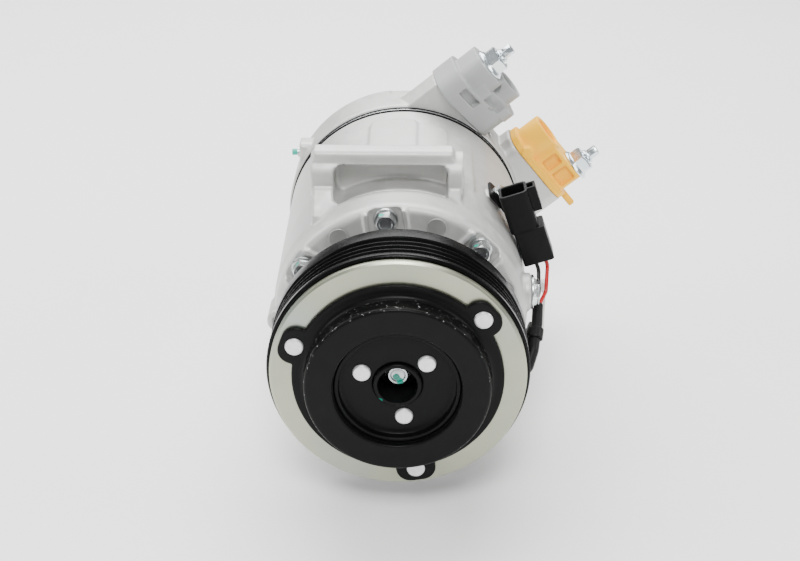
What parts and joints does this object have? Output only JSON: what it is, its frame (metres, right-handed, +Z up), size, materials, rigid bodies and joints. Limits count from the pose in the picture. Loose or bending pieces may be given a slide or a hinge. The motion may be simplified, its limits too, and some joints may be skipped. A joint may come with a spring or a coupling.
{
  "type": "automotive air-conditioning compressor",
  "caption": "Belt-driven swash-plate compressor for a car air conditioner, with electromagnetic clutch, grooved pulley, capped ports and coil lead.",
  "frame": {"origin": "on the shaft axis, in the front face of the armature plate", "axes": "+Y along the shaft from the clutch to the rear head, +Z up towards the upper mounting lug, +X to the right seen from the front"},
  "size_m": [0.1621, 0.2161, 0.1598],
  "materials": {
    "zinc_plate": "zinc plated steel with pale yellow-green passivation",
    "black_coat": "satin black coat",
    "rubber": "matt black",
    "rivet_steel": "pressed bright rivet heads",
    "bright_zinc": "bright zinc",
    "pulley_paint": "glossy black",
    "bearing_steel": "ground steel",
    "dark_steel": "phosphated",
    "coil_resin": "moulded resin",
    "cast_aluminium": "sand-like cast skin, bead blasted",
    "cast_aluminium_rear": "cast skin, bead blasted",
    "bolt_steel": "bright zinc, oiled",
    "gasket_black": "rubber coated",
    "brass": "turned",
    "blue_zinc": "blue-white zinc",
    "grey_plastic": "moulded polyethylene",
    "yellow_plastic": "moulded polyethylene",
    "swash_iron": "ground faces",
    "black_plastic": "moulded nylon",
    "tinned_brass": "tin plated",
    "red_insulation": "wire insulation",
    "black_insulation": "wire insulation",
    "sleeve_black": "convoluted sleeve",
    "clear_nylon": "natural nylon"
  },
  "bodies": {
    "housing": {"bearing_inner_race": "bearing_steel", "retaining_rings": "dark_steel", "coil_housing": "dark_steel", "field_coil": "coil_resin", "front_housing": "cast_aluminium", "through_bolts": "bolt_steel", "cylinder_block": "cast_aluminium", "gaskets": "gasket_black", "reed_plates": "bearing_steel", "valve_plate": "bearing_steel", "rear_housing": "cast_aluminium_rear", "small_screws": "bright_zinc", "control_valve": "brass", "o_rings": "rubber", "port_studs": "blue_zinc", "flange_nuts": "blue_zinc", "suction_port_cap": "grey_plastic", "discharge_port_cap": "yellow_plastic", "needle_bearings": "bearing_steel", "shaft_seal": "rubber", "connector": "black_plastic", "connector_pins": "tinned_brass", "connector_bracket": "dark_steel", "red_wire": "red_insulation", "black_wire": "black_insulation", "lead_sleeve": "sleeve_black", "lead_clamp": "bright_zinc", "cable_tie": "clear_nylon", "oil_plug": "bright_zinc"},
    "pulley": {"pulley": "pulley_paint", "bearing_outer_race": "bearing_steel", "bearing_seals": "rubber"},
    "bearing_balls": {"bearing_balls": "bearing_steel"},
    "shaft": {"inner_plate": "black_coat", "drive_hub": "black_coat", "inner_rivets": "rivet_steel", "shaft_bolt": "bright_zinc", "drive_shaft": "bearing_steel", "lug_plate": "dark_steel", "pivot_sleeve": "bearing_steel", "return_spring": "bearing_steel"},
    "armature": {"armature_plate": "zinc_plate", "damper_cup": "black_coat", "rubber_damper": "rubber", "outer_rivets": "rivet_steel"},
    "swash": {"swash_plate": "swash_iron"},
    "piston_1": {"piston_1": "cast_aluminium"},
    "shoes_1": {"shoes_1": "bearing_steel"},
    "piston_2": {"piston_2": "cast_aluminium"},
    "shoes_2": {"shoes_2": "bearing_steel"},
    "piston_3": {"piston_3": "cast_aluminium"},
    "shoes_3": {"shoes_3": "bearing_steel"},
    "piston_4": {"piston_4": "cast_aluminium"},
    "shoes_4": {"shoes_4": "bearing_steel"},
    "piston_5": {"piston_5": "cast_aluminium"},
    "shoes_5": {"shoes_5": "bearing_steel"},
    "piston_6": {"piston_6": "cast_aluminium"},
    "shoes_6": {"shoes_6": "bearing_steel"},
    "piston_7": {"piston_7": "cast_aluminium"},
    "shoes_7": {"shoes_7": "bearing_steel"}
  },
  "joints": [
    {"name": "pulley_spin", "type": "hinge", "parent": "housing", "child": "pulley", "pos_m": [0, 0.018, 0], "axis": [0, 1, 0], "continuous": true},
    {"name": "ball_orbit", "type": "hinge", "parent": "housing", "child": "bearing_balls", "pos_m": [0, 0.018, 0], "axis": [0, 1, 0], "continuous": true},
    {"name": "shaft_spin", "type": "hinge", "parent": "housing", "child": "shaft", "pos_m": [0, 0.04, 0], "axis": [0, 1, 0], "continuous": true},
    {"name": "armature_pull", "type": "slide", "parent": "shaft", "child": "armature", "axis": [0, 1, 0], "range_m": [0, 0.00045], "stiffness_N_per_m": 20000},
    {"name": "swash_tilt", "type": "hinge", "parent": "housing", "child": "swash", "pos_m": [0, 0.09, 0], "axis": [1, 0, 0], "range_deg": [0, 16], "stiffness_Nm_per_rad": 4, "springref_deg": -3.44},
    {"name": "piston_1_stroke", "type": "slide", "parent": "housing", "child": "piston_1", "axis": [0, 1, 0], "range_m": [-0.00934, 0.00001]},
    {"name": "shoes_1_swivel", "type": "hinge", "parent": "piston_1", "child": "shoes_1", "pos_m": [0.01084, 0.09, 0.03223], "axis": [1, 0, 0], "range_deg": [-0.5, 16.5]},
    {"name": "piston_2_stroke", "type": "slide", "parent": "housing", "child": "piston_2", "axis": [0, 1, 0], "range_m": [-0.00337, 0.00001]},
    {"name": "shoes_2_swivel", "type": "hinge", "parent": "piston_2", "child": "shoes_2", "pos_m": [0.03195, 0.09, 0.01162], "axis": [1, 0, 0], "range_deg": [-0.5, 16.5]},
    {"name": "piston_3_stroke", "type": "slide", "parent": "housing", "child": "piston_3", "axis": [0, 1, 0], "range_m": [-0.00001, 0.00515]},
    {"name": "shoes_3_swivel", "type": "hinge", "parent": "piston_3", "child": "shoes_3", "pos_m": [0.029, 0.09, -0.01774], "axis": [1, 0, 0], "range_deg": [-0.5, 16.5]},
    {"name": "piston_4_stroke", "type": "slide", "parent": "housing", "child": "piston_4", "axis": [0, 1, 0], "range_m": [-0.00001, 0.00978]},
    {"name": "shoes_4_swivel", "type": "hinge", "parent": "piston_4", "child": "shoes_4", "pos_m": [0.00421, 0.09, -0.03374], "axis": [1, 0, 0], "range_deg": [-0.5, 16.5]},
    {"name": "piston_5_stroke", "type": "slide", "parent": "housing", "child": "piston_5", "axis": [0, 1, 0], "range_m": [-0.00001, 0.00706]},
    {"name": "shoes_5_swivel", "type": "hinge", "parent": "piston_5", "child": "shoes_5", "pos_m": [-0.02375, 0.09, -0.02433], "axis": [1, 0, 0], "range_deg": [-0.5, 16.5]},
    {"name": "piston_6_stroke", "type": "slide", "parent": "housing", "child": "piston_6", "axis": [0, 1, 0], "range_m": [-0.00099, 0.00001]},
    {"name": "shoes_6_swivel", "type": "hinge", "parent": "piston_6", "child": "shoes_6", "pos_m": [-0.03383, 0.09, 0.0034], "axis": [1, 0, 0], "range_deg": [-0.5, 16.5]},
    {"name": "piston_7_stroke", "type": "slide", "parent": "housing", "child": "piston_7", "axis": [0, 1, 0], "range_m": [-0.00828, 0.00001]},
    {"name": "shoes_7_swivel", "type": "hinge", "parent": "piston_7", "child": "shoes_7", "pos_m": [-0.01844, 0.09, 0.02857], "axis": [1, 0, 0], "range_deg": [-0.5, 16.5]}
  ],
  "couplings": [
    {"joint": "ball_orbit", "follows": "pulley_spin", "ratio": 0.5467},
    {"joint": "piston_1_stroke", "follows": "swash_tilt", "m_per_rad": -0.03309},
    {"joint": "shoes_1_swivel", "follows": "swash_tilt", "ratio": 1},
    {"joint": "piston_2_stroke", "follows": "swash_tilt", "m_per_rad": -0.011928},
    {"joint": "shoes_2_swivel", "follows": "swash_tilt", "ratio": 1},
    {"joint": "piston_3_stroke", "follows": "swash_tilt", "m_per_rad": 0.018216},
    {"joint": "shoes_3_swivel", "follows": "swash_tilt", "ratio": 1},
    {"joint": "piston_4_stroke", "follows": "swash_tilt", "m_per_rad": 0.034643},
    {"joint": "shoes_4_swivel", "follows": "swash_tilt", "ratio": 1},
    {"joint": "piston_5_stroke", "follows": "swash_tilt", "m_per_rad": 0.024983},
    {"joint": "shoes_5_swivel", "follows": "swash_tilt", "ratio": 1},
    {"joint": "piston_6_stroke", "follows": "swash_tilt", "m_per_rad": -0.00349},
    {"joint": "shoes_6_swivel", "follows": "swash_tilt", "ratio": 1},
    {"joint": "piston_7_stroke", "follows": "swash_tilt", "m_per_rad": -0.029335},
    {"joint": "shoes_7_swivel", "follows": "swash_tilt", "ratio": 1}
  ]
}
